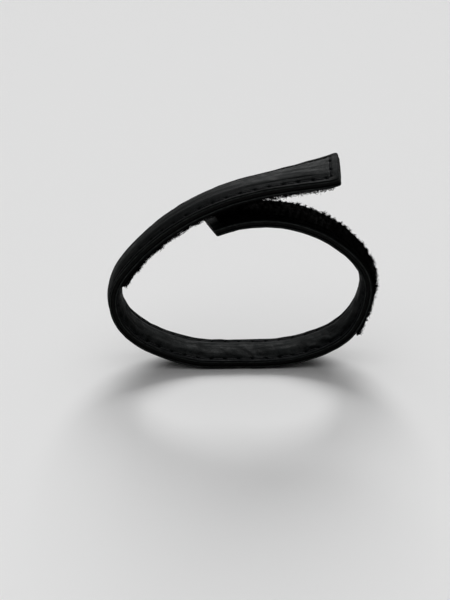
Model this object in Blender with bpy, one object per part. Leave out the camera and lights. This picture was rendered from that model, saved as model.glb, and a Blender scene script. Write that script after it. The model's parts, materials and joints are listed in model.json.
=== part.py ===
"""ESD wrist strap, standing open on the outside of its band.

A stitched band of four plies (outer cover, core, conductive ribbon, skin-side lining) curls once
round the wrist. Its overlap flap carries a hook strip on the inner face, and its underlap carries
a pile strip on the outer face. The band lies along one plane curve in X-Z and its width runs
along Y. Flex lines divide it into bodies: tip, flap, shoulder, base, side and underlap.

Run distance is measured in millimetres along the band's middle surface, from the flap's tip to
the underlap's end. Depth is measured from the band's outer face towards the wrist.
"""

import math
from collections import namedtuple

import bmesh
import bpy

MM = 0.001

# Band
BAND_WIDTH = 16.0
END_CHAMFER = 1.2
COVER_THICKNESS = 0.9
CORE_THICKNESS = 1.2
CORE_WIDTH = 14.6
RIBBON_THICKNESS = 0.2
RIBBON_WIDTH = 6.0
LINING_THICKNESS = 0.85
PLY_GAP = 0.15
BAND_THICKNESS = COVER_THICKNESS + CORE_THICKNESS + RIBBON_THICKNESS + LINING_THICKNESS + 3 * PLY_GAP

# Fastening strips
TAPE_WIDTH = 14.4
FIELD_WIDTH = 10.8
HOOK_TAPE_THICKNESS = 0.5
HOOK_FIELD_THICKNESS = 1.45
PILE_TAPE_THICKNESS = 0.3
PILE_FIELD_THICKNESS = 0.3
HOOK_START = 3.0
HOOK_END = 88.0
PILE_START = 191.0
PILE_END_MARGIN = 3.5

# Seams
SEAM_Y = 6.1
THREAD_WIDTH = 0.5
THREAD_THICKNESS = 0.25
THREAD_RECESS = 0.06
THREAD_GAP = 0.1
GROOVE_WIDTH = 0.9
GROOVE_DEPTH = 0.4
END_SEAM_INSET = 2.7
END_SEAM_LENGTH = 10.6
CLEAR_OF_TIP_SEAM = 1.0
CLEAR_OF_SLANTING_END = 2.0
CLEAR_OF_STRIP_END = 0.5

# The band's middle line: arcs of (radius, sweep in degrees), positive where they curl inwards.
FLAP_ARCS = ((-310.0, 5.5), (77.0, 41.0), (16.0, 55.0), (19.5, 39.0), (58.0, 20.0), (23.0, 12.0))
UNDERLAP_ARCS = ((52.0, 28.0), (20.5, 39.0), (37.0, 19.0), (12.0, 38.0), (40.0, 83.0))
RESTING_FLAT = 18.0
UNDERLAP_SKEW = 0.25
LONGEST_FACET = 5.0
LARGEST_TURN = math.radians(8.0)
SHARP_FROM = math.radians(30.0)

# Flex lines, by run distance. The pivot is on the outer face where the band opens outwards, and on
# the inner face where it curls inwards. closing is how far the joint also turns the other way.
Flex = namedtuple("Flex", "name at pivot_depth closing")
TIP_FLEX = Flex("tip_flex", 35.5, 0.0, math.radians(8.5))
FLAP_FLEX = Flex("flap_flex", 88.5, 0.0, 0.0)
SHOULDER_FLEX = Flex("shoulder_flex", 104.0, 0.0, 0.0)
SIDE_FLEX = Flex("side_flex", 188.5, BAND_THICKNESS, 0.0)
UNDERLAP_FLEX = Flex("underlap_flex", 232.5, BAND_THICKNESS, 0.0)
FLEX_GAP = 0.3

Run = namedtuple("Run", "start length x z heading radius")
Body = namedtuple("Body", "name first last pivot")


def remove_all_objects():
    for item in list(bpy.data.objects):
        bpy.data.objects.remove(item, do_unlink=True)


def material(name, colour, roughness, metallic=0.0):
    made = bpy.data.materials.new(name)
    made.use_nodes = True
    shader = made.node_tree.nodes["Principled BSDF"]
    shader.inputs["Base Color"].default_value = (*colour, 1.0)
    shader.inputs["Roughness"].default_value = roughness
    shader.inputs["Metallic"].default_value = metallic
    return made


# ---------------------------------------------------------------- the middle line


def advance(x, z, heading, radius, distance):
    """The point and heading a distance further on along a straight (radius None) or an arc."""
    if radius is None:
        return x + distance * math.cos(heading), z + distance * math.sin(heading), heading
    turned = heading + distance / radius
    x += radius * (math.sin(turned) - math.sin(heading))
    z -= radius * (math.cos(turned) - math.cos(heading))
    return x, z, turned


def middle_line():
    """The runs of the middle line, with the resting flat's middle at X 0 and its outer face at Z 0."""
    shapes = [(r, abs(r) * math.radians(sweep)) for r, sweep in FLAP_ARCS]
    shapes.append((None, RESTING_FLAT))
    shapes += [(r, r * math.radians(sweep)) for r, sweep in UNDERLAP_ARCS]
    heading = -sum(length / r for r, length in shapes[: len(FLAP_ARCS)])
    x = z = start = 0.0
    runs = []
    for radius, length in shapes:
        runs.append(Run(start, length, x, z, heading, radius))
        x, z, heading = advance(x, z, heading, radius, length)
        start += length
    flat = runs[len(FLAP_ARCS)]
    shift_x = -(flat.x + flat.length / 2)
    shift_z = BAND_THICKNESS / 2 - flat.z
    return [run._replace(x=run.x + shift_x, z=run.z + shift_z) for run in runs]


RUNS = middle_line()
BAND_LENGTH = RUNS[-1].start + RUNS[-1].length
PILE_END = BAND_LENGTH - PILE_END_MARGIN


def run_at(distance):
    for run in reversed(RUNS):
        if distance >= run.start:
            return run
    return RUNS[0]


def place(distance, depth):
    """The point (x, z) at a run distance and depth, and the heading there."""
    run = run_at(distance)
    x, z, heading = advance(run.x, run.z, run.heading, run.radius, distance - run.start)
    inwards = depth - BAND_THICKNESS / 2
    return x - math.sin(heading) * inwards, z + math.cos(heading) * inwards, heading


def stations():
    """Run distances of the facet edges, shared by all plies so that their facets stay parallel."""
    found = [0.0]
    for run in RUNS:
        steps = math.ceil(run.length / LONGEST_FACET)
        if run.radius is not None:
            steps = max(steps, math.ceil(run.length / abs(run.radius) / LARGEST_TURN))
        found += [run.start + run.length * (i + 1) / steps for i in range(steps)]
    return found


STATIONS = stations()


def bounds_x():
    """Lowest and highest X of the band's outer face, with the pile strip on it."""
    strip = PLY_GAP + PILE_TAPE_THICKNESS + PLY_GAP + PILE_FIELD_THICKNESS
    low = min(place(s, 0.0)[0] for s in STATIONS)
    high = max(place(s, -strip)[0] for s in STATIONS if s > PILE_START)
    return low, high


CENTRE_X = sum(bounds_x()) / 2


# ---------------------------------------------------------------- solids along the band


def rectangle(width, near_depth, far_depth, y=0.0):
    """A section outline of (y, depth) pairs."""
    half = width / 2
    return [(y - half, near_depth), (y + half, near_depth), (y + half, far_depth), (y - half, far_depth)]


def grooved(width, plain_depth, grooved_depth):
    """A ply's section with a seam groove near each edge of its grooved face."""
    half = width / 2
    floor = grooved_depth + math.copysign(GROOVE_DEPTH, plain_depth - grooved_depth)
    outline = [(-half, plain_depth), (half, plain_depth), (half, grooved_depth)]
    for y in (SEAM_Y, -SEAM_Y):
        outline += [
            (y + GROOVE_WIDTH / 2, grooved_depth),
            (y + GROOVE_WIDTH / 2, floor),
            (y - GROOVE_WIDTH / 2, floor),
            (y - GROOVE_WIDTH / 2, grooved_depth),
        ]
    return outline + [(-half, grooved_depth)]


def section_point(distance, y, depth, origin):
    x, z, _ = place(distance, depth)
    return (x - CENTRE_X) * MM - origin[0], y * MM - origin[1], z * MM - origin[2]


def skewed(y):
    """How far the underlap's slanting end runs on at this place across the band."""
    return UNDERLAP_SKEW * y


def narrowed(y):
    """The place across the band, drawn in at a chamfered end."""
    return math.copysign(max(abs(y) - END_CHAMFER, 0.0), y)


def rings(outline, first, last, chamfer_start, skew_end):
    """The section's corners as (distance, y, depth) at each facet edge from first to last."""
    cuts = [first] + [s for s in STATIONS if first + FLEX_GAP < s < last - FLEX_GAP] + [last]
    if chamfer_start:
        kept = [s for s in cuts[1:] if s > first + 2 * END_CHAMFER]
        cuts = [first, first + END_CHAMFER] + kept
    found = [[(s, y, depth) for y, depth in outline] for s in cuts]
    if chamfer_start:
        found[0] = [(s, narrowed(y), depth) for s, y, depth in found[0]]
    if skew_end:
        found[-1] = [(s + skewed(y), y, depth) for s, y, depth in found[-1]]
    return found


def join_rings(mesh, one, other):
    """Side faces between two rings of corners."""
    for i, corner in enumerate(one):
        j = (i + 1) % len(one)
        mesh.faces.new((corner, one[j], other[j], other[i]))


def swept(name, parent, outline, first, last, shade, chamfer_start=False, skew_end=False):
    """One closed solid: a section carried along the band from first to last."""
    origin = parent["world"]
    mesh = bmesh.new()
    loops = [
        [mesh.verts.new(section_point(*corner, origin)) for corner in ring]
        for ring in rings(outline, first, last, chamfer_start, skew_end)
    ]
    for one, other in zip(loops, loops[1:]):
        join_rings(mesh, one, other)
    mesh.faces.new(loops[0][::-1])
    mesh.faces.new(loops[-1])
    bmesh.ops.recalc_face_normals(mesh, faces=mesh.faces)
    data = bpy.data.meshes.new(name)
    mesh.to_mesh(data)
    mesh.free()
    data.shade_smooth()
    data.set_sharp_from_angle(angle=SHARP_FROM)
    data.materials.append(shade)
    made = bpy.data.objects.new(name, data)
    bpy.context.scene.collection.objects.link(made)
    made.parent = parent
    return made


def cross_thread(name, parent, distance, near_depth, far_depth, shade):
    """The short seam across the band near one of its ends."""
    half = THREAD_WIDTH / 2
    outline = rectangle(END_SEAM_LENGTH, near_depth, far_depth)
    return swept(name, parent, outline, distance - half, distance + half, shade)


# ---------------------------------------------------------------- the depth of each ply

CORE_TOP = COVER_THICKNESS + PLY_GAP
RIBBON_TOP = CORE_TOP + CORE_THICKNESS + PLY_GAP
LINING_TOP = RIBBON_TOP + RIBBON_THICKNESS + PLY_GAP
HOOK_TAPE_TOP = BAND_THICKNESS + PLY_GAP
HOOK_TAPE_FACE = HOOK_TAPE_TOP + HOOK_TAPE_THICKNESS
HOOK_FIELD_TOP = HOOK_TAPE_FACE + PLY_GAP
HOOK_FIELD_FACE = HOOK_FIELD_TOP + HOOK_FIELD_THICKNESS
PILE_TAPE_FLOOR = -PLY_GAP
PILE_TAPE_FACE = PILE_TAPE_FLOOR - PILE_TAPE_THICKNESS
PILE_FLOOR = PILE_TAPE_FACE - PLY_GAP
PILE_FACE = PILE_FLOOR - PILE_FIELD_THICKNESS


def clearance(flex, nearest, farthest):
    """Half the gap that a ply between two depths keeps at a flex line, opened for a closing turn."""
    reach = max(abs(nearest - flex.pivot_depth), abs(farthest - flex.pivot_depth))
    return FLEX_GAP / 2 + reach * math.tan(flex.closing) / 2


def span(body, outline):
    """First and last run distance of a ply in one body, clear of the flex lines at its ends."""
    depths = [depth for _, depth in outline]
    ends = []
    for edge, side in ((body.first, 1.0), (body.last, -1.0)):
        if isinstance(edge, Flex):
            ends.append(edge.at + side * clearance(edge, min(depths), max(depths)))
        else:
            ends.append(edge)
    return ends


def pivot_empty(flex, parent):
    """An empty on a flex line's hinge axis, at the middle of the band's width."""
    x, z, _ = place(flex.at, flex.pivot_depth)
    world = ((x - CENTRE_X) * MM, 0.0, z * MM)
    made = bpy.data.objects.new("pivot_" + flex.name, None)
    bpy.context.scene.collection.objects.link(made)
    made["world"] = world
    if parent is not None:
        made.parent = parent
        made.location = [a - b for a, b in zip(world, parent["world"])]
    else:
        made.location = world
    return made


def root_empty():
    """The base's own empty, at the part's origin."""
    made = bpy.data.objects.new("origin_base", None)
    bpy.context.scene.collection.objects.link(made)
    made["world"] = (0.0, 0.0, 0.0)
    return made


# ---------------------------------------------------------------- sub-parts


def add_plies(body, shades):
    """Outer cover, core and skin-side lining of one body."""
    at_tip = not isinstance(body.first, Flex)
    at_end = not isinstance(body.last, Flex)
    bare_outside = body.name not in ("side", "underlap")
    bare_inside = body.name not in ("tip", "flap")
    cover = rectangle(BAND_WIDTH, 0.0, COVER_THICKNESS)
    if bare_outside:
        cover = grooved(BAND_WIDTH, COVER_THICKNESS, 0.0)
    lining = rectangle(BAND_WIDTH, LINING_TOP, BAND_THICKNESS)
    if bare_inside:
        lining = grooved(BAND_WIDTH, LINING_TOP, BAND_THICKNESS)
    core = rectangle(CORE_WIDTH, CORE_TOP, CORE_TOP + CORE_THICKNESS)
    for kind, outline in (("outer_cover", cover), ("core", core), ("lining", lining)):
        first, last = span(body, outline)
        name = f"{kind}_{body.name}"
        swept(name, body.pivot, outline, first, last, shades[kind], at_tip, at_end)


def add_ribbon(body, shades):
    """The conductive ribbon between core and lining, round the wrist only."""
    outline = rectangle(RIBBON_WIDTH, RIBBON_TOP, RIBBON_TOP + RIBBON_THICKNESS)
    first, last = span(body, outline)
    swept(f"ribbon_{body.name}", body.pivot, outline, first, last, shades["ribbon"])


def add_hook_strip(body, shades):
    """Woven tape and hook field on the inner face of the overlap."""
    tape = rectangle(TAPE_WIDTH, HOOK_TAPE_TOP, HOOK_TAPE_FACE)
    field = rectangle(FIELD_WIDTH, HOOK_FIELD_TOP, HOOK_FIELD_FACE)
    for kind, outline in (("hook_tape", tape), ("hook_field", field)):
        first, last = span(body, outline)
        first, last = max(first, HOOK_START), min(last, HOOK_END)
        swept(f"{kind}_{body.name}", body.pivot, outline, first, last, shades[kind])


def add_pile_strip(body, shades):
    """Woven tape and loop pile on the outer face of the underlap."""
    tape = rectangle(TAPE_WIDTH, PILE_TAPE_FACE, PILE_TAPE_FLOOR)
    pile = rectangle(FIELD_WIDTH, PILE_FACE, PILE_FLOOR)
    skew_end = body.name == "underlap"
    for kind, outline in (("pile_tape", tape), ("pile_field", pile)):
        first, last = span(body, outline)
        first, last = max(first, PILE_START), min(last, PILE_END)
        swept(f"{kind}_{body.name}", body.pivot, outline, first, last, shades[kind], False, skew_end)


def add_seams(body, shades):
    """Two lengthwise threads on each face, in the grooves or on the strip that covers them."""
    on_pile = body.name in ("side", "underlap")
    on_hook = body.name in ("tip", "flap")
    outer = THREAD_RECESS
    if on_pile:
        outer = PILE_TAPE_FACE - THREAD_GAP - THREAD_THICKNESS
    inner = BAND_THICKNESS - THREAD_RECESS - THREAD_THICKNESS
    if on_hook:
        inner = HOOK_TAPE_FACE + THREAD_GAP
    for face, depth, covered, low, high in (
        ("outer", outer, on_pile, PILE_START, PILE_END),
        ("inner", inner, on_hook, HOOK_START, HOOK_END),
    ):
        for edge, y in (("near", -SEAM_Y), ("far", SEAM_Y)):
            outline = rectangle(THREAD_WIDTH, depth, depth + THREAD_THICKNESS, y)
            first, last = span(body, outline)
            first = max(first, END_SEAM_INSET + CLEAR_OF_TIP_SEAM)
            last = min(last, BAND_LENGTH - END_SEAM_INSET - CLEAR_OF_SLANTING_END)
            if covered:
                first = max(first, low + CLEAR_OF_STRIP_END)
                last = min(last, high - CLEAR_OF_SLANTING_END)
            swept(f"seam_{face}_{edge}_{body.name}", body.pivot, outline, first, last, shades["thread"])


def build():
    remove_all_objects()
    shades = {
        "outer_cover": material("cover_leather", (0.022, 0.022, 0.023), 0.42),
        "core": material("core_foam", (0.010, 0.010, 0.010), 0.9),
        "ribbon": material("conductive_ribbon", (0.09, 0.09, 0.095), 0.55),
        "lining": material("lining_leather", (0.028, 0.028, 0.029), 0.55),
        "hook_tape": material("hook_tape", (0.016, 0.016, 0.017), 0.8),
        "hook_field": material("hook_field", (0.012, 0.012, 0.013), 0.6),
        "pile_tape": material("pile_tape", (0.010, 0.010, 0.010), 0.85),
        "pile_field": material("pile_field", (0.005, 0.005, 0.005), 0.95),
        "thread": material("seam_thread", (0.008, 0.009, 0.012), 0.6),
    }
    base_pivot = root_empty()
    shoulder_pivot = pivot_empty(SHOULDER_FLEX, base_pivot)
    flap_pivot = pivot_empty(FLAP_FLEX, shoulder_pivot)
    tip_pivot = pivot_empty(TIP_FLEX, flap_pivot)
    side_pivot = pivot_empty(SIDE_FLEX, base_pivot)
    underlap_pivot = pivot_empty(UNDERLAP_FLEX, side_pivot)
    tip = Body("tip", 0.0, TIP_FLEX, tip_pivot)
    flap = Body("flap", TIP_FLEX, FLAP_FLEX, flap_pivot)
    shoulder = Body("shoulder", FLAP_FLEX, SHOULDER_FLEX, shoulder_pivot)
    base = Body("base", SHOULDER_FLEX, SIDE_FLEX, base_pivot)
    side = Body("side", SIDE_FLEX, UNDERLAP_FLEX, side_pivot)
    underlap = Body("underlap", UNDERLAP_FLEX, BAND_LENGTH, underlap_pivot)

    for body in (tip, flap, shoulder, base, side, underlap):
        add_plies(body, shades)
        add_seams(body, shades)
    for body in (shoulder, base, side):
        add_ribbon(body, shades)
    for body in (tip, flap):
        add_hook_strip(body, shades)
    for body in (side, underlap):
        add_pile_strip(body, shades)

    thread = shades["thread"]
    above_cover = -THREAD_GAP
    cross_thread(
        "seam_cross_tip", tip_pivot, END_SEAM_INSET, above_cover - THREAD_THICKNESS, above_cover, thread
    )
    below_lining = BAND_THICKNESS + THREAD_GAP
    cross_thread(
        "seam_cross_underlap",
        underlap_pivot,
        BAND_LENGTH - END_SEAM_INSET,
        below_lining,
        below_lining + THREAD_THICKNESS,
        thread,
    )


build()
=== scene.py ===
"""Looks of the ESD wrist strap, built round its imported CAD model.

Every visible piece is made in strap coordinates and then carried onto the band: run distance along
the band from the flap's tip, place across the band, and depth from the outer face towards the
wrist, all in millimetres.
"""

import json
import math
from collections import namedtuple

import bpy
import numpy as np
from mathutils import Matrix, Vector


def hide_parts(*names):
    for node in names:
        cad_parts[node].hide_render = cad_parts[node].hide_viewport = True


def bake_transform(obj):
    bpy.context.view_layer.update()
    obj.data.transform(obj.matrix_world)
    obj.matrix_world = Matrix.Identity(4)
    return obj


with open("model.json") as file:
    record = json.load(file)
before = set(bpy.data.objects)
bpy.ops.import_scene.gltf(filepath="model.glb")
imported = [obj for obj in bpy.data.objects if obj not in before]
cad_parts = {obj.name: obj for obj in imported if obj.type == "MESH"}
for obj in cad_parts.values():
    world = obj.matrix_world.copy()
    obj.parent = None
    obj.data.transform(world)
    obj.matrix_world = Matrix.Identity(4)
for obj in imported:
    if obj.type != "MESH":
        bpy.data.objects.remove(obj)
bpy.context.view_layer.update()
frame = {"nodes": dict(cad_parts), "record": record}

MM = 0.001
NODES = frame["nodes"]

# Band, in millimetres, as the CAD model has it
BAND_WIDTH = 16.0
BAND_THICKNESS = 3.6
COVER_FLOOR = 0.9
CORE_TOP = 1.05
CORE_FLOOR = 2.25
CORE_WIDTH = 14.6
RIBBON_TOP = 2.4
RIBBON_FLOOR = 2.6
RIBBON_WIDTH = 6.0
LINING_TOP = 2.75
HOOK_TAPE_TOP = 3.75
HOOK_TAPE_FACE = 4.25
PILE_TAPE_FLOOR = -0.15
PILE_TAPE_FACE = -0.45
PILE_FACE = -0.9
TAPE_WIDTH = 14.4
FIELD_WIDTH = 10.8
HOOK_START = 3.0
HOOK_END = 88.0
PILE_START = 191.0
PILE_END_MARGIN = 3.5
END_SEAM_INSET = 2.7
END_SEAM_HALF = 5.3
SEAM_Y = 6.1
UNDERLAP_SKEW = 0.25
FLAP_ARCS = ((-310.0, 5.5), (77.0, 41.0), (16.0, 55.0), (19.5, 39.0), (58.0, 20.0), (23.0, 12.0))
UNDERLAP_ARCS = ((52.0, 28.0), (20.5, 39.0), (37.0, 19.0), (12.0, 38.0), (40.0, 83.0))
RESTING_FLAT = 18.0

# Tracing of the band's middle line
PATH_STEP = 0.25
PATH_SPARE = 8.0
EASING = 3.6

# Ends and edges, in millimetres and degrees, finer than the CAD model's
CORNER_RADIUS = 1.7
SKEW_FROM = 262.0
TIP_SKEW = 0.075
TIP_SKEW_REACH = 10.0
TIP_TWIST = 12.0
TWIST_FROM = -4.0
TWIST_REACH = 28.0
PILE_LIFT = 0.7
PEEL_REACH = 6.0
PEEL_BELOW = -0.1
RING_STEP = 0.3
END_RINGS = (0.06, 0.16)
END_ROUNDING = 0.35
EDGE_POINTS = 5
CORE_OVERHANG = 0.3
CORE_RISE = 0.1
CORE_GAP = 0.05
CORE_STEP_FROM = 0.3
CORE_STEP_TO = 1.2
RIBBON_START = 88.7
RIBBON_END = 232.3
MAT_GAP = 0.15
HOOK_MAT_FACE = 5.05
PILE_MAT_OVERHANG = 0.4
PILE_MAT_RISE = 0.1
SHARP_FROM = math.radians(50.0)

# Surface relief and seams, in millimetres
OUTER_CROWN = 0.65
INNER_CROWN = 0.65
NEAR_RIM_DROOP = 0.05
FAR_RIM_DROOP = 0.4
DROOP_TOP = -1.2
PINCH_OUTER = 0.4
PINCH_INNER = -0.38
PINCH_FROM = 2.6
STITCH = 4.8
HOLE_REACH = 0.62
VALLEY = 0.13
HOLE_DEPTH = 0.34
VALLEY_REACH = 0.42
THREAD_DIP = 0.5
THREAD_HALF_WIDTH = 0.27
THREAD_HALF_THICKNESS = 0.17
THREAD_TWIST = 1.15
THREAD_LOBES = 0.2
THREAD_SIDES = 10
THREAD_STEP = 0.2
THREAD_LIFT = 0.11
THREAD_END_GAP = 0.9
CROSS_SEAM_RINGS = 70
THREAD_SINK = 0.05
CROWN_POWER = 2.3
CROWN_RISE = 9.0
PUCKER = 0.09
PUCKER_REACH = 1.3
SEAM_FADE_OUT = 0.6
SEAM_FADE_IN = 0.2
CROSS_FADE_IN = 0.3
CROSS_FADE_OUT = 0.4
STEP_OUT = 0.6
STEP_IN = 0.4
PILE_FADE_FROM = 6.0
PILE_FADE_TO = 1.0
HOOK_FADE_FROM = 0.5
HOOK_FADE_TO = 5.0
END_FADE_FROM = 3.2
END_FADE_TO = 0.3
RIM_FROM = SEAM_Y + 0.5
RIM_TO = 7.6

# Wrinkles: height, length along the band, length across it, and seed
Wrinkle = namedtuple("Wrinkle", "height along across seed")
EDGE_WAVES = (Wrinkle(0.13, 6.5, 1.0, 5), Wrinkle(0.07, 1.9, 1.0, 6))
EDGE_LANE = 3.0
OUTER_STREAKS = (Wrinkle(0.05, 15.0, 1.5, 11), Wrinkle(0.035, 5.0, 0.9, 12))
OUTER_DENT = Wrinkle(0.05, 3.2, 3.1, 13)
OUTER_DENT_SLANT = 9.0
OUTER_FADE = 1.5
OUTER_RIM = Wrinkle(0.09, 3.7, 1.0, 16)
FURROW = Wrinkle(0.10, 14.0, 1.0, 14)
FURROW_WANDER = Wrinkle(0.3, 11.0, 1.0, 15)
FURROW_Y = 3.9
FURROW_HALF_WIDTH = 0.35
FURROW_SHOWN_FROM = -0.5
FURROW_SHOWN_TO = 0.6
INNER_SLANT = 0.35
INNER_WANDER = Wrinkle(0.9, 6.0, 4.0, 20)
INNER_CREASES = (Wrinkle(0.15, 3.4, 6.5, 21), Wrinkle(0.09, 1.5, 3.2, 22))
INNER_DENT = Wrinkle(0.15, 5.0, 2.6, 23)
INNER_FADE = 1.8
INNER_RIM = Wrinkle(0.11, 3.3, 1.0, 24)
RIM_LANE = 2.0
THREAD_WANDER = Wrinkle(0.07, 2.4, 1.0, 31)
PILE_MAT = (Wrinkle(0.10, 0.9, 0.9, 41), Wrinkle(0.07, 0.4, 0.4, 42))
HOOK_MAT = Wrinkle(0.13, 0.8, 0.8, 43)

# Hook and pile, in millimetres and fibres per square millimetre
PILE_HALF = 6.5
PILE_DENSITY = 12.0
PILE_EDGE_FROM = 5.0
PILE_EDGE_DROP = 0.45
TUFT_PITCH = 2.1
TUFT_BASE = 0.8
TUFT_RISE = 1.35
TUFT_FULL = 0.9
TUFT_ROWS = 0.55
TUFT_WOBBLE = Wrinkle(0.5, 2.0, 1.0, 47)
TUFT_CLUMPS = Wrinkle(0.6, 1.3, 1.5, 44)
PILE_ROOT = 0.02
PILE_SEED = 7
HOOK_HALF = 5.6
HOOK_PITCH = 0.72
HOOK_ROW = 0.8
HOOK_HEIGHT = 2.1
HOOK_UNEVEN = Wrinkle(0.3, 1.6, 1.6, 45)
HOOK_ROOT = 0.05
HOOK_SHIFT = 0.16
HOOK_SIDE_SHIFT = 0.12
HOOK_TURN = 0.5
HOOK_SEED = 11
LINT_DENSITY = 9.0
LINT_ROOT = 0.4
LINT_BASE = 0.7
LINT_RISE = 1.4
LINT_CLUMPS = Wrinkle(1.0, 1.1, 1.5, 46)
LINT_BARE = -0.6
LINT_FULL = 0.7
FIBRE_TAPER = 0.35

# Fibres: where along its length one starts to curl, its radius, its sides and joints, which way it
# stands (-1 on the outer face, 1 on the inner), and the ranges of its lean, curl and added height
Fibre = namedtuple("Fibre", "reach radius sides joints outwards lean curl spread")
LOOP = Fibre(0.45, 0.065, 3, 5, -1.0, (0.0, 0.4), (0.8, 3.0), (-0.15, 0.25))
HOOK = Fibre(0.5, 0.085, 4, 7, 1.0, (-0.15, 0.35), (2.3, 3.2), (-0.2, 0.2))
LINT = Fibre(0.3, 0.06, 3, 5, 1.0, (0.1, 0.7), (0.8, 2.8), (0, 0.4))

# Leather: colours of its face, of its rims' painted shade and of its cut edge's pale line (its own
# paler tone and a painted highlight), depth of that line's middle, and finish
Leather = namedtuple("Leather", "dark light rim raw middle smooth rough grain specular")
COVER_LEATHER = Leather(
    dark=(0.0018, 0.0022, 0.0023),
    light=(0.0070, 0.0080, 0.0082),
    # Painted shade for the rims:
    rim=(0.0012, 0.0014, 0.0015),
    # Pale cut-edge line, partly its own paler tone and partly a painted highlight:
    raw=(0.026, 0.028, 0.027),
    middle=0.5,
    smooth=0.42,
    rough=0.68,
    grain=1.7,
    specular=0.027,
)
LINING_LEATHER = Leather(
    dark=(0.0010, 0.0013, 0.0014),
    light=(0.0088, 0.0100, 0.0102),
    # Painted shade for the rims:
    rim=(0.0022, 0.0026, 0.0030),
    # Pale cut-edge line, partly its own paler tone and partly a painted highlight:
    raw=(0.026, 0.028, 0.027),
    middle=3.15,
    smooth=0.44,
    rough=0.78,
    grain=1.3,
    specular=0.018,
)
LEATHER_TINT = (0.88, 1.0, 0.99, 1.0)
# The cut edge's pale line round the middle of the ply: partly its own paler tone, partly a painted highlight
CUT_EDGE_FROM = 7.7
CUT_EDGE_TO = 7.95
RAW_AND_HIGHLIGHT_FULL = 0.12
RAW_AND_HIGHLIGHT_NONE = 0.3
# Painted shade on the rims from just inside the seam lines outwards, its share, and the rims' extra roughness
RIM_PAINTED_SHADE_FROM = SEAM_Y - 0.75
RIM_PAINTED_SHADE_TO = SEAM_Y - 0.3
RIM_PAINTED_SHADE = 0.85
RIM_ROUGHER = 0.12
# Width of the grain's creases, and how much painted shade darkens them
CREASE_WIDTH = 0.22
CREASE_PAINTED_SHADE = 0.5

# Cloth and thread: how far the finish goes each side of its roughness
WOVEN_UNEVEN = 0.08
STRAND_UNEVEN = 0.06

# Camera, in metres and degrees
CAMERA_TARGET = (-0.00569, 0.0, 0.02313)
CAMERA_DISTANCE = 0.466
CAMERA_ELEVATION = 27.5
CAMERA_YAW = -1.356
CAMERA_ROLL = -1.195
CAMERA_LENS = 81.0
CAMERA_NEAR = 0.01
CAMERA_FAR = 20.0

# Floor, lights and room, in metres and degrees
FLOOR_Z = -0.00004
FLOOR_HALF = 6.0
FLOOR_TONE = 0.84
KEY_FROM = (0.04, 0.85, 0.53)
KEY_SPREAD = 31.0
KEY_STRENGTH = 2.85
OVERHEAD_FROM = (-0.1, 0.1, 1.0)
OVERHEAD_SPREAD = 100.0
OVERHEAD_STRENGTH = 1.0
BACKDROP_Y = 3.0
BACKDROP_HALF_WIDTH = 3.0
BACKDROP_HEIGHT = 1.0
BACKDROP_TONE = 0.8
BACKDROP_GLOW = 0.35
ROOM_TONE = 0.9
ROOM_STRENGTH = 0.08


# ---------------------------------------------------------------- helpers


def ramp(value, low, high):
    """0 at low, 1 at high, smooth between."""
    t = np.clip((np.asarray(value, float) - low) / (high - low), 0.0, 1.0)
    return t * t * (3.0 - 2.0 * t)


def lattice(i, j, seed):
    """A repeatable number from -1 to 1 at each whole grid point."""
    mixed = np.sin(i * 127.1 + j * 311.7 + seed * 74.7) * 43758.5453
    return (mixed - np.floor(mixed)) * 2.0 - 1.0


def noise(u, v, seed):
    """Smooth noise from -1 to 1."""
    u, v = np.broadcast_arrays(np.asarray(u, float), np.asarray(v, float))
    i, j = np.floor(u), np.floor(v)
    a, b = ramp(u - i, 0.0, 1.0), ramp(v - j, 0.0, 1.0)
    low = lattice(i, j, seed) * (1 - a) + lattice(i + 1, j, seed) * a
    high = lattice(i, j + 1, seed) * (1 - a) + lattice(i + 1, j + 1, seed) * a
    return low * (1 - b) + high * b


def wrinkled(s, y, *layers):
    """Height of these layers of wrinkles together."""
    return sum(layer.height * noise(s / layer.along, y / layer.across, layer.seed) for layer in layers)


# ---------------------------------------------------------------- the band's path


def runs():
    """The band's lengths and curvatures, from the flap's tip to the underlap's end."""
    shapes = [(abs(r) * math.radians(sweep), 1 / r) for r, sweep in FLAP_ARCS]
    shapes.append((RESTING_FLAT, 0.0))
    return shapes + [(r * math.radians(sweep), 1 / r) for r, sweep in UNDERLAP_ARCS]


def eased(values):
    """Values along the path with their steps smoothed over EASING, as a real band bends."""
    reach = np.arange(-3 * EASING, 3 * EASING + PATH_STEP, PATH_STEP)
    weight = np.exp(-((reach / EASING) ** 2) / 2)
    padded = np.pad(values, len(reach) // 2, mode="edge")
    return np.convolve(padded, weight / weight.sum(), mode="same")[len(reach) // 2 :][: len(values)]


def summed(values):
    """Running integral along the path."""
    return np.concatenate([[0.0], np.cumsum((values[1:] + values[:-1]) / 2 * PATH_STEP)])


def traced():
    """The middle line as distances, X, Z and headings, flat and at the rest mount in its middle."""
    lengths, bends = (np.array(v) for v in zip(*runs()))
    ends = np.cumsum(lengths)
    flat_middle = ends[len(FLAP_ARCS)] - RESTING_FLAT / 2
    s = np.arange(-PATH_SPARE, ends[-1] + PATH_SPARE, PATH_STEP)
    bend = eased(bends[np.clip(np.searchsorted(ends, s), 0, len(bends) - 1)])
    heading = summed(bend)
    heading -= np.interp(flat_middle, s, heading)
    x, z = summed(np.cos(heading)), summed(np.sin(heading))
    rest = frame["record"]["mounts"][0]["pos_m"]
    x += rest[0] / MM - np.interp(flat_middle, s, x)
    z += rest[2] / MM + BAND_THICKNESS / 2 - np.interp(flat_middle, s, z)
    return (s, x, z, heading), float(ends[-1])


PATH, BAND_LENGTH = traced()
PILE_END = BAND_LENGTH - PILE_END_MARGIN


def place(s, depth):
    """X and Z in millimetres at a run distance and depth."""
    x, z, heading = (np.interp(s, PATH[0], values) for values in PATH[1:])
    inwards = depth - BAND_THICKNESS / 2
    return x - np.sin(heading) * inwards, z + np.cos(heading) * inwards


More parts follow.
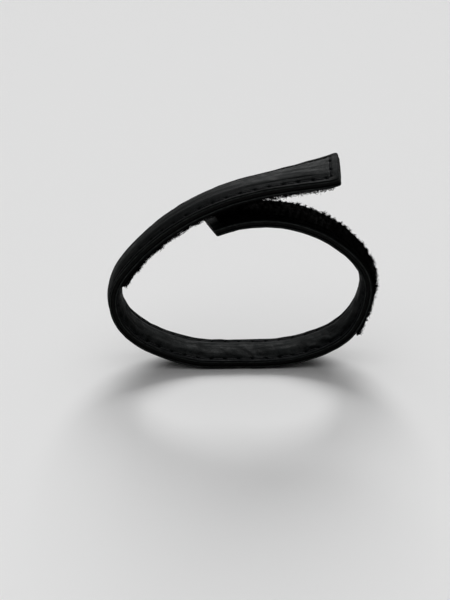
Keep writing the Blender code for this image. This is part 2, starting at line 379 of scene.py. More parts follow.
def pinch(y, depth):
    """How far the seams pull the plies together, and how far the cover's rims droop."""
    pulled = ramp(np.abs(y), PINCH_FROM, SEAM_Y)
    most = np.where(y > 0, FAR_RIM_DROOP, NEAR_RIM_DROOP)
    on_cover = (depth < CORE_TOP) * (depth > DROOP_TOP)
    droop = most * ramp(np.abs(y), SEAM_Y, BAND_WIDTH / 2) * on_cover
    return pulled * np.interp(depth, [COVER_FLOOR, LINING_TOP], [PINCH_OUTER, PINCH_INNER]) + droop


def drawn_in(s, y):
    """The place across the band, with rounded corners at both ends and a slightly uneven cut edge."""
    from_end = np.minimum(np.clip(s, 0, CORNER_RADIUS), np.clip(BAND_LENGTH - s, 0, CORNER_RADIUS))
    corner = CORNER_RADIUS - np.sqrt(np.maximum(CORNER_RADIUS**2 - (CORNER_RADIUS - from_end) ** 2, 0))
    side = np.sign(y)
    uneven = wrinkled(s, side * EDGE_LANE, *EDGE_WAVES)
    share = y / (BAND_WIDTH / 2)
    return y - share * corner + share * side * uneven


def peeled(s, depth):
    """How far the pile strip's cut end stands off the cover."""
    on_strip = (s >= PILE_START) * (depth < PEEL_BELOW)
    return -PILE_LIFT * (1 - ramp(s, PILE_START, PILE_START + PEEL_REACH)) * on_strip


def twisted(s, y):
    """How far the flap's tip dips towards its near corner, about its far edge."""
    turn = math.radians(TIP_TWIST) * (1 - ramp(s, TWIST_FROM, TWIST_REACH))
    return (BAND_WIDTH / 2 - y) * np.tan(turn)


def to_frame(s, y, depth):
    """Points in the row frame, in metres, from strap coordinates."""
    s, y, depth = np.broadcast_arrays(s, y, depth)
    run = s + UNDERLAP_SKEW * y * ramp(s, SKEW_FROM, PILE_END)
    run = run + TIP_SKEW * (BAND_WIDTH / 2 - y) * (1 - ramp(s, 0.0, TIP_SKEW_REACH))
    x, z = place(run, depth + pinch(y, depth) + peeled(s, depth) + twisted(s, y))
    return np.stack([x, drawn_in(s, y), np.maximum(z, 0.0)], -1) * MM


# ---------------------------------------------------------------- pieces and joints

# A stretch of the band, with the body a before start and the body b after end.
Segment = namedtuple("Segment", "name first last a b start end")
SEGMENTS = (
    Segment("tip", 0.0, 64.0, "flap", "tip", 46.5, 24.5),
    Segment("flap", 64.0, 96.25, "flap", "shoulder", 82.0, 95.0),
    Segment("heel", 96.25, 147.5, "shoulder", "base", 97.5, 110.5),
    Segment("wrist", 147.5, 207.0, "base", "side", 179.5, 197.5),
    Segment("underlap", 207.0, BAND_LENGTH, "side", "underlap", 220.5, 244.5),
)


def solid(name, points, strap, faces, shade):
    """A closed mesh facing out. faces is a list of index arrays, one row for each face."""
    data = bpy.data.meshes.new(name)
    loops = np.concatenate([f.ravel() for f in faces])
    sizes = np.concatenate([np.full(len(f), f.shape[1]) for f in faces])
    data.vertices.add(len(points))
    data.vertices.foreach_set("co", points.astype(np.float32).ravel())
    data.loops.add(len(loops))
    data.loops.foreach_set("vertex_index", loops.astype(np.int32))
    data.polygons.add(len(sizes))
    starts = np.concatenate([[0], np.cumsum(sizes)[:-1]])
    data.polygons.foreach_set("loop_start", starts.astype(np.int32))
    data.update(calc_edges=True)
    attribute = data.attributes.new("strap", "FLOAT_VECTOR", "POINT")
    attribute.data.foreach_set("vector", strap.astype(np.float32).ravel())
    quads = points[faces[0]]
    volume = np.einsum("ij,ij->", quads[:, 0], np.cross(quads[:, 1], quads[:, 2]))
    volume += np.einsum("ij,ij->", quads[:, 0], np.cross(quads[:, 2], quads[:, 3]))
    if volume < 0:
        data.flip_normals()
    data.materials.append(shade)
    data.shade_smooth()
    data.set_sharp_from_angle(angle=SHARP_FROM)
    made = bpy.data.objects.new(name, data)
    bpy.context.scene.collection.objects.link(made)
    return made


def loft(name, s, y, depth, shade):
    """A closed solid through rings of points. s, y and depth are rings by points around."""
    s, y, depth = np.broadcast_arrays(s, y, depth)
    count, around = s.shape
    k = np.arange(around)
    ring = np.arange(count - 1)[:, None] * around
    after = (k + 1) % around
    quads = np.stack([ring + k, ring + after, ring + around + after, ring + around + k], -1)
    caps = np.stack([k[::-1], (count - 1) * around + k])
    strap = np.stack([s, y, depth], -1).reshape(-1, 3)
    points = to_frame(s, y, depth).reshape(-1, 3)
    return solid(name, points, strap, [quads.reshape(-1, 4), caps], shade)


def fit(piece, segment, slot, *kinds):
    """Bakes the piece's transform into its mesh, and hides the CAD nodes that it covers."""
    ends = to_frame(np.array([segment.start, segment.end]), 0.0, BAND_THICKNESS / 2)
    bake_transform(piece)
    covered = [f"{kind}_{body}" for kind in kinds for body in (segment.a, segment.b)]
    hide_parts(*[node for node in covered if node in NODES])
    return piece


def spans(first, last):
    """Each segment that a stretch from first to last runs through, with the part of it there."""
    for segment in SEGMENTS:
        low, high = max(first, segment.first), min(last, segment.last)
        if high > low:
            yield segment, low, high


def ring_places(low, high, step):
    """Places for rings along a stretch, in a column, about a step apart."""
    return np.linspace(low, high, max(2, round((high - low) / step) + 1))[:, None]


# ---------------------------------------------------------------- relief of the leather


def holes(along):
    """1 at each needle hole along a seam, falling to 0 between holes."""
    away = ((along / STITCH + 0.5) % 1.0 - 0.5) * STITCH
    return np.exp(-((away / HOLE_REACH) ** 2))


def groove(away):
    """1 on a seam's line, falling to 0 beside it."""
    return np.exp(-((away / VALLEY_REACH) ** 2))


def seam_relief(s, y):
    """The lengthwise seams' valleys, deepest at the needle holes, with puckers beside them."""
    across = np.abs(y)
    last = BAND_LENGTH - END_SEAM_INSET
    inside = ramp(s, END_SEAM_INSET - SEAM_FADE_OUT, END_SEAM_INSET + SEAM_FADE_IN)
    inside = inside * (1 - ramp(s, last - SEAM_FADE_IN, last + SEAM_FADE_OUT))
    pierced = holes(s)
    valley = (VALLEY + HOLE_DEPTH * pierced) * groove(across - SEAM_Y)
    pucker = PUCKER * pierced * np.exp(-(((across - SEAM_Y) / PUCKER_REACH) ** 2))
    return (valley + pucker) * inside


def cross_relief(s, y, at):
    """A short seam's valley across the band."""
    inside = 1 - ramp(np.abs(y), SEAM_Y - CROSS_FADE_IN, SEAM_Y + CROSS_FADE_OUT)
    return (VALLEY + HOLE_DEPTH * holes(y + STITCH / 2)) * groove(s - at) * inside


def crowned(y):
    """1 in the middle of the band, falling to 0 at the lengthwise seams."""
    return np.clip(1 - (np.abs(y) / SEAM_Y) ** CROWN_POWER, 0, None)


def rim_waves(s, y, layer):
    """Waves in the sewn rims, outside the lengthwise seams."""
    return wrinkled(s, np.sign(y) * RIM_LANE, layer) * ramp(np.abs(y), RIM_FROM, RIM_TO)


def furrow(s, y):
    """A faint crease that comes and goes along the near side of the outer face."""
    shown = ramp(noise(s / FURROW.along, 0.0, FURROW.seed), FURROW_SHOWN_FROM, FURROW_SHOWN_TO)
    away = y + FURROW_Y + wrinkled(s, 0.0, FURROW_WANDER)
    return FURROW.height * shown * np.exp(-((away / FURROW_HALF_WIDTH) ** 2))


def outer_relief(s, y):
    """Outer face of the cover, positive towards the wrist."""
    across = np.abs(y)
    bare = 1 - ramp(s, PILE_START - PILE_FADE_FROM, PILE_START - PILE_FADE_TO)
    full = ramp(s, END_SEAM_INSET, END_SEAM_INSET + CROWN_RISE) * bare
    dent = OUTER_DENT
    dents = dent.height * noise(s / dent.along + y / OUTER_DENT_SLANT, y / dent.across, dent.seed)
    relief = -OUTER_CROWN * crowned(y) * full
    relief = relief + (wrinkled(s, y, *OUTER_STREAKS) + dents) * bare * ramp(SEAM_Y - across, 0.0, OUTER_FADE)
    relief = relief + furrow(s, y) * full
    seams = (seam_relief(s, y) + cross_relief(s, y, END_SEAM_INSET)) * bare
    return relief + seams + rim_waves(s, y, OUTER_RIM)


def inner_relief(s, y):
    """Inner face of the lining, positive towards the wrist."""
    last = BAND_LENGTH - END_SEAM_INSET
    bare = ramp(s, HOOK_END + HOOK_FADE_FROM, HOOK_END + HOOK_FADE_TO)
    full = bare * (1 - ramp(s, last - END_FADE_FROM, last - END_FADE_TO))
    relief = INNER_CROWN * crowned(y) * full
    slant = s + INNER_SLANT * y + wrinkled(s, y, INNER_WANDER)
    creases = wrinkled(slant, y, *INNER_CREASES)
    dents = wrinkled(s, y, INNER_DENT)
    relief = relief + (creases + dents) * full * ramp(SEAM_Y - np.abs(y), 0.0, INNER_FADE)
    seams = (seam_relief(s, y) + cross_relief(s, y, last)) * bare
    return relief - seams - rim_waves(s, y, INNER_RIM)


def core_relief(s, y):
    """The core fills the space beside the ribbon, down to the lining."""
    beside = ramp(np.abs(y), RIBBON_WIDTH / 2 + CORE_STEP_FROM, RIBBON_WIDTH / 2 + CORE_STEP_TO)
    return (LINING_TOP - CORE_GAP - CORE_FLOOR) * beside


def outline(half, top, floor, radius, across):
    """A flat ply's section as (y, depth) points: its top face, its far edge, its floor, its near edge."""
    flat = half - radius
    face = np.linspace(-flat, flat, across)
    turns = np.linspace(0, math.pi / 2, EDGE_POINTS)[1:]
    edge_y = flat + radius * np.sin(turns)
    edge_depth = radius * (1 - np.cos(turns))
    y = np.concatenate([face, edge_y, edge_y[::-1], face[::-1], -edge_y, -edge_y[::-1]])
    top_edge, floor_edge = top + edge_depth, floor - edge_depth
    level = np.full(across, 1.0)
    depth = np.concatenate(
        [top * level, top_edge, floor_edge[::-1], floor * level, floor_edge, top_edge[::-1]]
    )
    return y[None, :], depth[None, :]


Ply = namedtuple("Ply", "kind half top floor radius across first last step relief shown slot")


def tapered(s, ply, depth):
    """The ply thinned towards a free end, which rounds the end's edges."""
    from_end = np.minimum(s - ply.first, ply.last - s)
    share = np.sqrt(1 - (1 - np.clip(from_end / END_ROUNDING, 0, 1)) ** 2)
    middle = (ply.top + ply.floor) / 2
    return middle + (depth - middle) * (0.5 + 0.5 * share)


def add_ply(ply, shade):
    """One ply of the band, cut into its segments."""
    y, depth = outline(ply.half, ply.top, ply.floor, ply.radius, ply.across)
    end_rings = np.array(END_RINGS)
    for segment, low, high in spans(ply.first, ply.last):
        s = ring_places(low, high, ply.step)
        s = np.unique(np.concatenate([s.ravel(), low + end_rings, high - end_rings]))[:, None]
        share = (ply.floor - depth) / (ply.floor - ply.top)
        if ply.shown == "floor":
            share = 1 - share
        placed = tapered(s, ply, depth) + ply.relief(s, y) * share
        piece = loft(f"{ply.kind}_{segment.name}_run", s, y, placed, shade)
        fit(piece, segment, ply.slot, ply.kind)


# ---------------------------------------------------------------- threads


def add_thread(name, segment, kinds, s, y, depth, along, shade):
    """A twisted thread along a centre line. along is the distance that its twist runs with."""
    turn = np.linspace(0, 2 * math.pi, THREAD_SIDES, endpoint=False)[None, :]
    twist = 2 * math.pi * along[:, None] / THREAD_TWIST
    lobes = 1 + THREAD_LOBES * np.cos(2 * (turn - twist))
    side = THREAD_HALF_WIDTH * lobes * np.cos(turn)
    rise = THREAD_HALF_THICKNESS * lobes * np.sin(turn)
    crossing = s.ndim == 0
    rings_s = s + side if crossing else s[:, None] + 0 * turn
    rings_y = y[:, None] + 0 * turn if crossing else y + side
    piece = loft(name, rings_s, rings_y, depth[:, None] + rise, shade)
    return fit(piece, segment, "seam_thread", *kinds)


def seat(s, face):
    """Depth of the surface that a lengthwise thread lies on, before the plies are pinched."""
    if face == "outer":
        on_tape = ramp(s, PILE_START - STEP_OUT, PILE_START + STEP_IN)
        return VALLEY * (1 - on_tape) + (PILE_TAPE_FACE + THREAD_SINK) * on_tape
    on_tape = 1 - ramp(s, HOOK_END - STEP_IN, HOOK_END + STEP_OUT)
    return (BAND_THICKNESS - VALLEY) * (1 - on_tape) + (HOOK_TAPE_FACE - THREAD_SINK) * on_tape


def add_seams(shade):
    """Four lengthwise seams, and one across each end."""
    margin = END_SEAM_INSET + THREAD_END_GAP
    for face, inwards in (("outer", 1.0), ("inner", -1.0)):
        for edge, y in (("near", -SEAM_Y), ("far", SEAM_Y)):
            kind = f"seam_{face}_{edge}"
            for segment, low, high in spans(margin, BAND_LENGTH - margin):
                s = ring_places(low, high, THREAD_STEP).ravel()
                dip = -THREAD_LIFT + THREAD_DIP * holes(s)
                depth = seat(s, face) + inwards * dip
                wander = y + wrinkled(s, y, THREAD_WANDER)
                name = f"{kind}_{segment.name}_run"
                add_thread(name, segment, [kind], s, wander[:, None], depth, s, shade)
    across = np.linspace(-END_SEAM_HALF, END_SEAM_HALF, CROSS_SEAM_RINGS)
    dip = -THREAD_LIFT + THREAD_DIP * holes(across + STITCH / 2)
    for name, segment, at, depth in (
        ("seam_cross_tip", SEGMENTS[0], END_SEAM_INSET, VALLEY + dip),
        ("seam_cross_underlap", SEGMENTS[-1], BAND_LENGTH - END_SEAM_INSET, BAND_THICKNESS - VALLEY - dip),
    ):
        piece = add_thread(name + "_run", segment, [], np.array(at), across, depth, across, shade)
        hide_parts(name)


# ---------------------------------------------------------------- hook and pile


def fibres(name, segment, slot, fibre, roots, height, random, shade):
    """Many short curling fibres in one piece, standing for the node that its slot is named after."""
    count = len(height)
    lean = random.uniform(*fibre.lean, count)
    curl = random.uniform(*fibre.curl, count)
    sides, joints = fibre.sides, fibre.joints
    share = (np.arange(joints)[None, :] + 0.5) / joints
    curled = np.clip((share - fibre.reach) / (1 - fibre.reach), 0, 1)
    bend = lean[:, None] + curl[:, None] * curled
    length = height / joints
    zero = np.zeros((count, 1))
    rise = np.concatenate([zero, np.cumsum(np.cos(bend), 1)], 1) * length[:, None]
    run = np.concatenate([zero, np.cumsum(np.sin(bend), 1)], 1) * length[:, None]
    turned = np.concatenate([bend[:, :1], (bend[:, 1:] + bend[:, :-1]) / 2, bend[:, -1:]], 1)
    way = roots["way"][:, None, None]
    turn = np.linspace(0, 2 * math.pi, sides, endpoint=False)[None, None, :]
    thin = fibre.radius * (1 - FIBRE_TAPER * np.linspace(0, 1, joints + 1) ** 3)[None, :, None]
    sideways = thin * np.cos(turn)
    forward = thin * np.sin(turn)
    plane = run[:, :, None] + forward * np.cos(turned)[:, :, None]
    up = rise[:, :, None] - forward * np.sin(turned)[:, :, None]
    s = roots["s"][:, None, None] + plane * np.cos(way) - sideways * np.sin(way)
    y = roots["y"][:, None, None] + plane * np.sin(way) + sideways * np.cos(way)
    depth = roots["depth"][:, None, None] + fibre.outwards * up
    k = np.arange(sides)
    after = (k + 1) % sides
    ring = np.arange(joints)[:, None] * sides
    quads = np.stack([ring + k, ring + after, ring + sides + after, ring + sides + k], -1).reshape(-1, 4)
    block = (joints + 1) * sides
    caps = np.stack([k[::-1], joints * sides + k])
    offsets = (np.arange(count) * block)[:, None, None]
    faces = [(quads[None] + offsets).reshape(-1, 4), (caps[None] + offsets).reshape(-1, sides)]
    points = to_frame(s, y, depth).reshape(-1, 3)
    strap = np.stack(np.broadcast_arrays(s, y, depth), -1).reshape(-1, 3)
    piece = solid(name, points, strap, faces, shade)
    return fit(piece, segment, slot, slot)


def scattered(random, low, high, half, count):
    """Roots for fibres over a stretch of the band, each with a compass direction."""
    return {
        "s": random.uniform(low, high, count),
        "y": random.uniform(-half, half, count),
        "way": random.uniform(0, 2 * math.pi, count),
    }


def pile_relief(s, y):
    """Unevenness of the mat that the loops stand on."""
    return wrinkled(s, y, *PILE_MAT)


def hook_relief(s, y):
    """Unevenness of the mat of lint between the hooks."""
    return wrinkled(s, y, HOOK_MAT)


def add_pile(shade):
    """Loop pile standing on its mat, thicker in tufts, in a near and a far half."""
    random = np.random.default_rng(PILE_SEED)
    for segment, low, high in spans(PILE_START, PILE_END):
        for half, side in (("near", -1.0), ("far", 1.0)):
            count = int((high - low) * PILE_HALF * PILE_DENSITY)
            roots = scattered(random, low, high, PILE_HALF, count)
            roots["y"] = side * np.abs(roots["y"])
            roots["depth"] = np.full(count, PILE_TAPE_FACE + PILE_ROOT)
            row = roots["s"] / TUFT_PITCH + wrinkled(roots["y"], 0.0, TUFT_WOBBLE)
            clump = TUFT_ROWS * np.cos(2 * math.pi * row) + wrinkled(roots["s"], roots["y"], TUFT_CLUMPS)
            edge = 1 - PILE_EDGE_DROP * ramp(np.abs(roots["y"]), PILE_EDGE_FROM, PILE_HALF)
            grown = TUFT_BASE + TUFT_RISE * ramp(clump, 0.0, TUFT_FULL)
            height = (grown + random.uniform(*LOOP.spread, count)) * edge
            name = f"pile_loops_{half}_{segment.name}_run"
            fibres(name, segment, "pile_field", LOOP, roots, height, random, shade)


def add_hooks(shade):
    """Moulded hooks in rows, leaning either way, with tufts of lint caught between them."""
    random = np.random.default_rng(HOOK_SEED)
    for segment, low, high in spans(HOOK_START, HOOK_END):
        along = np.arange(low + 0.2, high - 0.1, HOOK_PITCH)
        across = np.arange(-HOOK_HALF, HOOK_HALF + 0.01, HOOK_ROW)
        s, y = (grid.ravel() for grid in np.meshgrid(along, across, indexing="ij"))
        count = len(s)
        roots = {
            "s": s + random.uniform(-HOOK_SHIFT, HOOK_SHIFT, count),
            "y": y + random.uniform(-HOOK_SIDE_SHIFT, HOOK_SIDE_SHIFT, count),
            "way": np.where(random.random(count) < 0.5, 0.0, math.pi)
            + random.uniform(-HOOK_TURN, HOOK_TURN, count),
            "depth": np.full(count, HOOK_TAPE_FACE + HOOK_ROOT),
        }
        uneven = wrinkled(roots["s"], roots["y"], HOOK_UNEVEN)
        height = HOOK_HEIGHT + uneven + random.uniform(*HOOK.spread, count)
        fibres(f"hooks_{segment.name}_run", segment, "hook_field", HOOK, roots, height, random, shade)
        count = int((high - low) * 2 * HOOK_HALF * LINT_DENSITY)
        roots = scattered(random, low, high, HOOK_HALF, count)
        roots["depth"] = np.full(count, HOOK_TAPE_FACE + LINT_ROOT)
        clump = ramp(wrinkled(roots["s"], roots["y"], LINT_CLUMPS), LINT_BARE, LINT_FULL)
        height = LINT_BASE + LINT_RISE * clump + random.uniform(*LINT.spread, count)
        fibres(f"hook_lint_{segment.name}_run", segment, "hook_field", LINT, roots, height, random, shade)


# ---------------------------------------------------------------- materials


def node(tree, kind, inputs=(), **settings):
    """A shader node. An input's value is a number, a colour or the socket that feeds it."""
    made = tree.nodes.new(kind)
    for key, value in settings.items():
        setattr(made, key, value)
    for key, value in dict(inputs).items():
        if isinstance(value, bpy.types.NodeSocket):
            tree.links.new(value, made.inputs[key])
        else:
            made.inputs[key].default_value = value
    return made


def material(name):
    """A material with its strap coordinates, in millimetres, and its Principled shader."""
    made = bpy.data.materials.new(name)
    made.use_nodes = True
    tree = made.node_tree
    strap = node(tree, "ShaderNodeAttribute", attribute_name="strap").outputs["Vector"]
    return made, tree, strap, tree.nodes["Principled BSDF"]


def pattern(tree, strap, scale, detail=2.0, stretch=None):
    """Noise from 0 to 1 with features 1/scale millimetres wide, drawn out along one way if asked."""
    if stretch:
        factors = {0: strap, 1: stretch}
        strap = node(tree, "ShaderNodeVectorMath", factors, operation="MULTIPLY").outputs["Vector"]
    inputs = {"Vector": strap, "Scale": scale, "Detail": detail}
    return node(tree, "ShaderNodeTexNoise", inputs).outputs["Fac"]


def remap(tree, value, low, high, to_low=0.0, to_high=1.0):
    """The value carried smoothly from one range to another, and held at its ends."""
    return node(
        tree,
        "ShaderNodeMapRange",
        {"Value": value, "From Min": low, "From Max": high, "To Min": to_low, "To Max": to_high},
        interpolation_type="SMOOTHSTEP",
    ).outputs["Result"]


def maths(tree, operation, one, other=0.0):
    """One operation on two values, each a number or a socket."""
    return node(tree, "ShaderNodeMath", {0: one, 1: other}, operation=operation).outputs["Value"]


def weighted(tree, one, one_share, other, other_share):
    """The sum of two values, each multiplied by its own share."""
    first = maths(tree, "MULTIPLY", one, one_share)
    return maths(tree, "ADD", first, maths(tree, "MULTIPLY", other, other_share))


def mix(tree, share, one, other):
    """A colour between two, each a colour or a socket."""
    made = node(tree, "ShaderNodeMix", data_type="RGBA")
    for index, value in ((0, share), (6, one), (7, other)):
        if isinstance(value, bpy.types.NodeSocket):
            tree.links.new(value, made.inputs[index])
        else:
            made.inputs[index].default_value = value if index == 0 else (*value, 1.0)
    return made.outputs[2]


def bump(tree, shader, height, distance_mm, strength=1.0):
    """Gives the shader fine relief, distance_mm high where height is 1."""
    made = node(
        tree, "ShaderNodeBump", {"Height": height, "Strength": strength, "Distance": distance_mm * MM}
    )
    tree.links.new(made.outputs["Normal"], shader.inputs["Normal"])


def share_beyond(tree, strap, low, high):
    """0 on the faces, rising to 1 towards the band's cut edges."""
    y = node(tree, "ShaderNodeSeparateXYZ", {0: strap}).outputs["Y"]
    return remap(tree, maths(tree, "ABSOLUTE", y), low, high)


def leather(name, look):
    """Split leather: pebbled grain with fine creases that painted shade darkens, mottled sheen, painted
    shade on the rims and a pale line on the cut edge.

    The pale line is partly the cut leather's own paler tone and partly a painted highlight. It runs
    round the middle of the ply's thickness, at look.middle.
    """
    made, tree, strap, shader = material(name)
    wander = node(tree, "ShaderNodeTexNoise", {"Vector": strap, "Scale": 1.1}).outputs["Color"]
    bent = node(tree, "ShaderNodeVectorMath", {0: strap, 1: wander}, operation="ADD").outputs["Vector"]
    creases = node(
        tree, "ShaderNodeTexVoronoi", {"Vector": bent, "Scale": look.grain}, feature="DISTANCE_TO_EDGE"
    ).outputs["Distance"]
    pebble = remap(tree, creases, 0.0, CREASE_WIDTH)
    fine = pattern(tree, strap, scale=7.0, detail=3.0)
    cloud = pattern(tree, strap, scale=0.22, detail=3.0)
    streak = pattern(tree, strap, scale=1.0, stretch=(0.12, 0.9, 1.0))
    blotch = pattern(tree, strap, scale=0.6, detail=4.0)
    mottle = weighted(tree, cloud, 0.4, blotch, 0.6)
    tone = mix(tree, remap(tree, mottle, 0.42, 0.6), look.dark, look.light)
    # Painted shade: the grain's creases are darkened towards the dark tone.
    crease = maths(tree, "SUBTRACT", 1.0, pebble)
    tone = mix(tree, maths(tree, "MULTIPLY", crease, CREASE_PAINTED_SHADE), tone, look.dark)
    # Painted shade on the rims, from just inside the seam lines out to the cut edges; the same rims are also
    # rougher.
    rim = share_beyond(tree, strap, RIM_PAINTED_SHADE_FROM, RIM_PAINTED_SHADE_TO)
    tone = mix(tree, maths(tree, "MULTIPLY", rim, RIM_PAINTED_SHADE), tone, look.rim)
    # The pale line round the middle of the cut edge: partly the cut leather's own paler tone, partly a
    # painted highlight.
    depth = node(tree, "ShaderNodeSeparateXYZ", {0: strap}).outputs["Z"]
    off_middle = maths(tree, "ABSOLUTE", maths(tree, "SUBTRACT", depth, look.middle))
    cut = share_beyond(tree, strap, CUT_EDGE_FROM, CUT_EDGE_TO)
    raw = maths(tree, "MULTIPLY", cut, remap(tree, off_middle, RAW_AND_HIGHLIGHT_FULL, RAW_AND_HIGHLIGHT_NONE, 1.0, 0.0))
    torn = pattern(tree, strap, scale=1.0, detail=3.0, stretch=(0.5, 2.0, 3.0))
    frayed = remap(tree, torn, 0.38, 0.62, 0.35, 1.0)
    tone = mix(tree, maths(tree, "MULTIPLY", raw, frayed), tone, look.raw)
    tree.links.new(tone, shader.inputs["Base Color"])
    gloss = weighted(tree, mottle, 0.6, streak, 0.4)
    sheen = remap(tree, gloss, 0.36, 0.64, look.smooth, look.rough)
    sheen = maths(tree, "ADD", sheen, maths(tree, "MULTIPLY", rim, RIM_ROUGHER))
    tree.links.new(sheen, shader.inputs["Roughness"])
    shader.inputs["Specular IOR Level"].default_value = look.specular
    shader.inputs["Specular Tint"].default_value = LEATHER_TINT
    bump(tree, shader, weighted(tree, pebble, 0.7, fine, 0.5), distance_mm=0.05, strength=0.7)
    return made


def foam(name, dark, light):
    """Open-cell foam seen at its cut edge."""
    made, tree, strap, shader = material(name)
    cells = node(tree, "ShaderNodeTexVoronoi", {"Vector": strap, "Scale": 4.5}).outputs["Distance"]
    tone = mix(tree, remap(tree, cells, 0.1, 0.6), dark, light)
    tree.links.new(tone, shader.inputs["Base Color"])
    shader.inputs["Roughness"].default_value = 0.95
    shader.inputs["Specular IOR Level"].default_value = 0.2
    bump(tree, shader, cells, distance_mm=0.12)
    return made


def woven(name, dark, light, pitch, roughness, specular, metallic=0.0):
    """Plain-weave tape: warp and weft passing over each other."""
    made, tree, strap, shader = material(name)
    parts = node(tree, "ShaderNodeSeparateXYZ", {0: strap})
    turn = 2 * math.pi / pitch
    warp = maths(tree, "SINE", maths(tree, "MULTIPLY", parts.outputs["X"], turn))
    weft = maths(tree, "SINE", maths(tree, "MULTIPLY", parts.outputs["Y"], turn))
    over = maths(tree, "MULTIPLY", warp, weft)
    ribs = maths(tree, "ABSOLUTE", maths(tree, "ADD", maths(tree, "MULTIPLY", over, 0.6), weft))
    tone = mix(tree, remap(tree, ribs, 0.0, 1.2), dark, light)
    tree.links.new(tone, shader.inputs["Base Color"])
    worn = pattern(tree, strap, scale=1.4, detail=3.0)
    sheen = remap(tree, worn, 0.3, 0.7, roughness - WOVEN_UNEVEN, roughness + WOVEN_UNEVEN)
    tree.links.new(sheen, shader.inputs["Roughness"])
    shader.inputs["Specular IOR Level"].default_value = specular
    shader.inputs["Metallic"].default_value = metallic
    bump(tree, shader, ribs, distance_mm=0.06)
    return made


def strands(name, dark, light, roughness, specular):
    """Fibres or thread: tone changes from strand to strand, with fine marks in each."""
    made, tree, strap, shader = material(name)
    strand = pattern(tree, strap, scale=2.2)
    tone = mix(tree, remap(tree, strand, 0.3, 0.7), dark, light)
    tree.links.new(tone, shader.inputs["Base Color"])
    marks = pattern(tree, strap, scale=9.0)
    sheen = remap(tree, marks, 0.3, 0.7, roughness - STRAND_UNEVEN, roughness + STRAND_UNEVEN)
    tree.links.new(sheen, shader.inputs["Roughness"])
    shader.inputs["Specular IOR Level"].default_value = specular
    bump(tree, shader, marks, distance_mm=0.02)
    return made


# ---------------------------------------------------------------- stage


def grey(tone):
    """A neutral colour."""
    return (tone, tone, tone, 1.0)


def add_camera():
    """A long lens from a little above, turned and tilted very slightly."""
    rise, yaw, roll = (math.radians(v) for v in (CAMERA_ELEVATION, CAMERA_YAW, CAMERA_ROLL))
    forward = Vector((math.sin(yaw) * math.cos(rise), math.cos(yaw) * math.cos(rise), -math.sin(rise)))
    right = Vector((math.cos(yaw), -math.sin(yaw), 0.0))
    up = right.cross(forward)
    across = right * math.cos(roll) + up * math.sin(roll)
    upright = up * math.cos(roll) - right * math.sin(roll)
    data = bpy.data.cameras.new("camera")
    data.lens = CAMERA_LENS
    data.clip_start = CAMERA_NEAR
    data.clip_end = CAMERA_FAR
    camera = bpy.data.objects.new("camera", data)
    bpy.context.scene.collection.objects.link(camera)
    turned = Matrix((across, upright, -forward)).transposed().to_4x4()
    turned.translation = Vector(CAMERA_TARGET) - forward * CAMERA_DISTANCE
    camera.matrix_world = turned
    bpy.context.scene.camera = camera


def add_sky_light(name, towards, spread, strength):
    """A far softbox that fills this many degrees of the sky in one direction."""
    data = bpy.data.lights.new(name, "SUN")
    data.energy = strength
    data.angle = math.radians(spread)
    light = bpy.data.objects.new(name, data)
    bpy.context.scene.collection.objects.link(light)
    light.rotation_mode = "QUATERNION"
    light.rotation_quaternion = Vector(towards).to_track_quat("Z", "Y")


def add_backdrop():
    """A low glowing screen far behind the strap, which the leather's sheen picks up."""
    data = bpy.data.meshes.new("backdrop")
    x, y, z = BACKDROP_HALF_WIDTH, BACKDROP_Y, BACKDROP_HEIGHT
    data.from_pydata([(-x, y, 0.0), (x, y, 0.0), (x, y, z), (-x, y, z)], [], [(0, 1, 2, 3)])
    screen = bpy.data.objects.new("backdrop", data)
    bpy.context.scene.collection.objects.link(screen)
    shade = bpy.data.materials.new("backdrop_glow")
    shade.use_nodes = True
    shader = shade.node_tree.nodes["Principled BSDF"]
    shader.inputs["Base Color"].default_value = grey(BACKDROP_TONE)
    shader.inputs["Emission Color"].default_value = grey(1.0)
    shader.inputs["Emission Strength"].default_value = BACKDROP_GLOW
    data.materials.append(shade)


def add_stage():
    """A pale floor under one large softbox, high behind the strap, and a dim pale room."""
    half = FLOOR_HALF
    data = bpy.data.meshes.new("floor")
    corners = [(-half, -half, FLOOR_Z), (half, -half, FLOOR_Z), (half, half, FLOOR_Z), (-half, half, FLOOR_Z)]
    data.from_pydata(corners, [], [(0, 1, 2, 3)])
    floor = bpy.data.objects.new("floor", data)
    bpy.context.scene.collection.objects.link(floor)
    shade = bpy.data.materials.new("pale_floor")
    shade.use_nodes = True
    shader = shade.node_tree.nodes["Principled BSDF"]
    shader.inputs["Base Color"].default_value = grey(FLOOR_TONE)
    shader.inputs["Roughness"].default_value = 0.9
    shader.inputs["Specular IOR Level"].default_value = 0.05
    data.materials.append(shade)
    add_sky_light("key", KEY_FROM, KEY_SPREAD, KEY_STRENGTH)
    add_sky_light("overhead", OVERHEAD_FROM, OVERHEAD_SPREAD, OVERHEAD_STRENGTH)
    add_backdrop()
    world = bpy.data.worlds.new("room")
    world.use_nodes = True
    background = world.node_tree.nodes["Background"]
    background.inputs["Color"].default_value = grey(ROOM_TONE)
    background.inputs["Strength"].default_value = ROOM_STRENGTH
    bpy.context.scene.world = world
    bpy.context.scene.view_settings.view_transform = "Standard"


# ---------------------------------------------------------------- the strap


def flat(s, y):
    """No relief."""
    return 0.0 * s * y


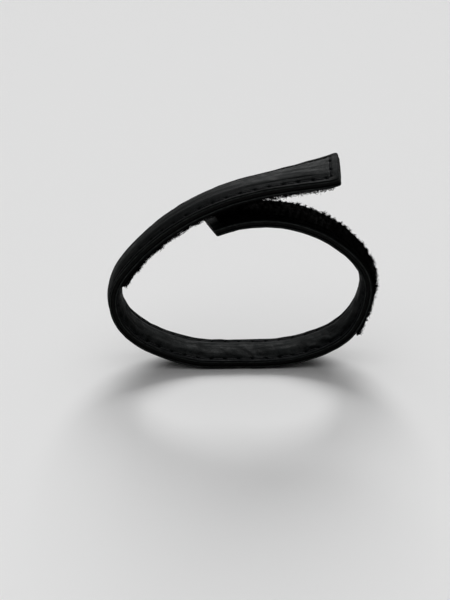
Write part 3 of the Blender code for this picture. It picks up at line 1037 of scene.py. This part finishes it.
def plies():
    """Each ply of the band and the mats of its fields, in millimetres."""
    return (
        Ply(
            kind="outer_cover", slot="cover_leather", relief=outer_relief, shown="top",
            half=BAND_WIDTH / 2, top=0.0, floor=COVER_FLOOR, first=0.0, last=BAND_LENGTH,
            radius=0.28, across=65, step=RING_STEP,
        ),
        Ply(
            kind="core", slot="core_foam", relief=core_relief, shown="floor",
            half=CORE_WIDTH / 2 + CORE_OVERHANG, top=CORE_TOP - CORE_RISE, floor=CORE_FLOOR,
            first=0.0, last=BAND_LENGTH, radius=0.3, across=41, step=0.5,
        ),
        Ply(
            kind="ribbon", slot="conductive_ribbon", relief=flat, shown="top",
            half=RIBBON_WIDTH / 2, top=RIBBON_TOP, floor=RIBBON_FLOOR,
            first=RIBBON_START, last=RIBBON_END, radius=0.09, across=9, step=1.0,
        ),
        Ply(
            kind="lining", slot="lining_leather", relief=inner_relief, shown="floor",
            half=BAND_WIDTH / 2, top=LINING_TOP, floor=BAND_THICKNESS, first=0.0, last=BAND_LENGTH,
            radius=0.28, across=65, step=RING_STEP,
        ),
        Ply(
            kind="hook_tape", slot="hook_tape", relief=flat, shown="floor",
            half=TAPE_WIDTH / 2, top=HOOK_TAPE_TOP, floor=HOOK_TAPE_FACE,
            first=HOOK_START, last=HOOK_END, radius=0.2, across=31, step=0.6,
        ),
        Ply(
            kind="hook_field", slot="hook_field", relief=hook_relief, shown="floor",
            half=FIELD_WIDTH / 2, top=HOOK_TAPE_FACE + MAT_GAP, floor=HOOK_MAT_FACE,
            first=HOOK_START, last=HOOK_END, radius=0.15, across=33, step=0.4,
        ),
        Ply(
            kind="pile_tape", slot="pile_tape", relief=flat, shown="top",
            half=TAPE_WIDTH / 2, top=PILE_TAPE_FACE, floor=PILE_TAPE_FLOOR,
            first=PILE_START, last=PILE_END, radius=0.13, across=31, step=0.6,
        ),
        Ply(
            kind="pile_field", slot="pile_field", relief=pile_relief, shown="top",
            half=FIELD_WIDTH / 2 + PILE_MAT_OVERHANG, top=PILE_FACE - PILE_MAT_RISE,
            floor=PILE_TAPE_FACE - MAT_GAP, first=PILE_START, last=PILE_END,
            radius=0.07, across=45, step=RING_STEP,
        ),
    )


def build():
    """Makes each material, and with it every piece of the strap."""
    shades = {
        "cover_leather": leather("cover_leather", COVER_LEATHER),
        "lining_leather": leather("lining_leather", LINING_LEATHER),
        "core_foam": foam("core_foam", dark=(0.0008, 0.0008, 0.0008), light=(0.003, 0.003, 0.003)),
        "conductive_ribbon": woven(
            "conductive_ribbon",
            dark=(0.05, 0.05, 0.052),
            light=(0.16, 0.16, 0.165),
            pitch=0.4,
            roughness=0.5,
            specular=0.5,
            metallic=0.6,
        ),
        "hook_tape": woven(
            "hook_tape",
            dark=(0.001, 0.001, 0.001),
            light=(0.004, 0.004, 0.0042),
            pitch=0.55,
            roughness=0.8,
            specular=0.05,
        ),
        "hook_field": strands(
            "hook_field",
            dark=(0.0006, 0.0006, 0.0006),
            light=(0.0022, 0.0022, 0.0022),
            roughness=0.7,
            specular=0.02,
        ),
        "pile_tape": woven(
            "pile_tape",
            dark=(0.0006, 0.0006, 0.0006),
            light=(0.0016, 0.0016, 0.0016),
            pitch=0.55,
            roughness=0.85,
            specular=0.02,
        ),
        "pile_field": strands(
            "pile_field",
            dark=(0.0004, 0.0004, 0.0004),
            light=(0.0016, 0.0016, 0.0016),
            roughness=0.85,
            specular=0.01,
        ),
        "seam_thread": strands(
            "seam_thread",
            dark=(0.0010, 0.0012, 0.0018),
            light=(0.0038, 0.0044, 0.006),
            roughness=0.65,
            specular=0.04,
        ),
    }
    for ply in plies():
        add_ply(ply, shades[ply.slot])
    add_seams(shades["seam_thread"])
    add_hooks(shades["hook_field"])
    add_pile(shades["pile_field"])


add_camera()
add_stage()
build()
